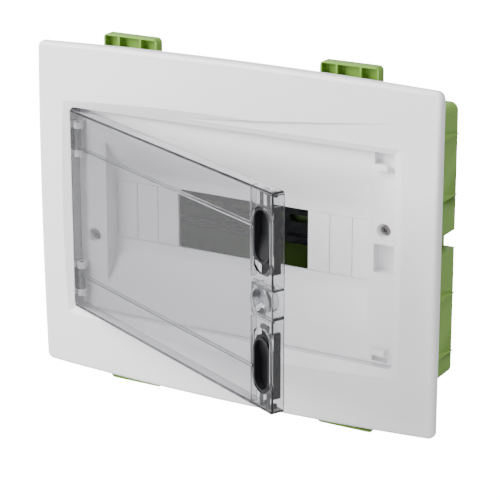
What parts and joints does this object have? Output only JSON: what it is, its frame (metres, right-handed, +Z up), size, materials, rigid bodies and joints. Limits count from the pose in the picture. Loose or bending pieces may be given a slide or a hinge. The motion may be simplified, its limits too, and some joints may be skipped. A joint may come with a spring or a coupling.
{
  "type": "breaker panel box",
  "caption": "Recessed plastic breaker panel box with a domed white frame, smoked hinged door, sliding latches, module rail and plasterboard clamps.",
  "frame": {"origin": "centre of the wall plane, the flat that the rear rim of the front frame rests on", "axes": "+X to the right seen from the front, +Y into the wall, +Z up"},
  "size_m": [0.332, 0.1884, 0.271],
  "materials": {
    "white_plastic": "satin moulded",
    "green_plastic": "fine moulded",
    "smoked_clear": "smoked, see-through, polished",
    "clear_plastic": "clear, polished",
    "dark_grey_plastic": "satin moulded",
    "black_plastic": "matte moulded",
    "steel": "zinc plated"
  },
  "bodies": {
    "box": {"front_frame": "white_plastic", "inner_cover": "white_plastic", "blanking_plate_1": "white_plastic", "blanking_plate_2": "white_plastic", "blanking_plate_3": "white_plastic", "blanking_plate_4": "white_plastic", "blanking_plate_5": "white_plastic", "blanking_plate_6": "white_plastic", "cover_screws": "steel", "back_box": "green_plastic", "din_rail": "steel", "rail_support_left": "black_plastic", "rail_support_right": "black_plastic", "rail_screws": "steel", "clamp_screws": "steel"},
    "door": {"door_panel": "smoked_clear", "hinge_pin_upper": "steel", "hinge_pin_lower": "steel", "lock_housing": "clear_plastic", "lock_plug": "clear_plastic"},
    "upper_latch": {"latch_upper": "dark_grey_plastic"},
    "lower_latch": {"latch_lower": "dark_grey_plastic"},
    "top_left_clamp": {"clamp_top_left": "green_plastic"},
    "top_right_clamp": {"clamp_top_right": "green_plastic"},
    "bottom_left_clamp": {"clamp_bottom_left": "green_plastic"},
    "bottom_right_clamp": {"clamp_bottom_right": "green_plastic"}
  },
  "joints": [
    {"name": "door_hinge", "type": "hinge", "parent": "box", "child": "door", "pos_m": [-0.1305, -0.0035, 0], "axis": [0, 0, -1], "range_deg": [-26, 80]},
    {"name": "upper_latch_slide", "type": "slide", "parent": "door", "child": "upper_latch", "axis": [0, 0, -1], "range_m": [0, 0.0034]},
    {"name": "lower_latch_slide", "type": "slide", "parent": "door", "child": "lower_latch", "axis": [0, 0, 1], "range_m": [0, 0.0034]},
    {"name": "top_left_clamp_slide", "type": "slide", "parent": "box", "child": "top_left_clamp", "axis": [0, 1, 0], "range_m": [-0.001, 0.02]},
    {"name": "top_right_clamp_slide", "type": "slide", "parent": "box", "child": "top_right_clamp", "axis": [0, 1, 0], "range_m": [-0.001, 0.02]},
    {"name": "bottom_left_clamp_slide", "type": "slide", "parent": "box", "child": "bottom_left_clamp", "axis": [0, 1, 0], "range_m": [-0.001, 0.02]},
    {"name": "bottom_right_clamp_slide", "type": "slide", "parent": "box", "child": "bottom_right_clamp", "axis": [0, 1, 0], "range_m": [-0.001, 0.02]}
  ]
}
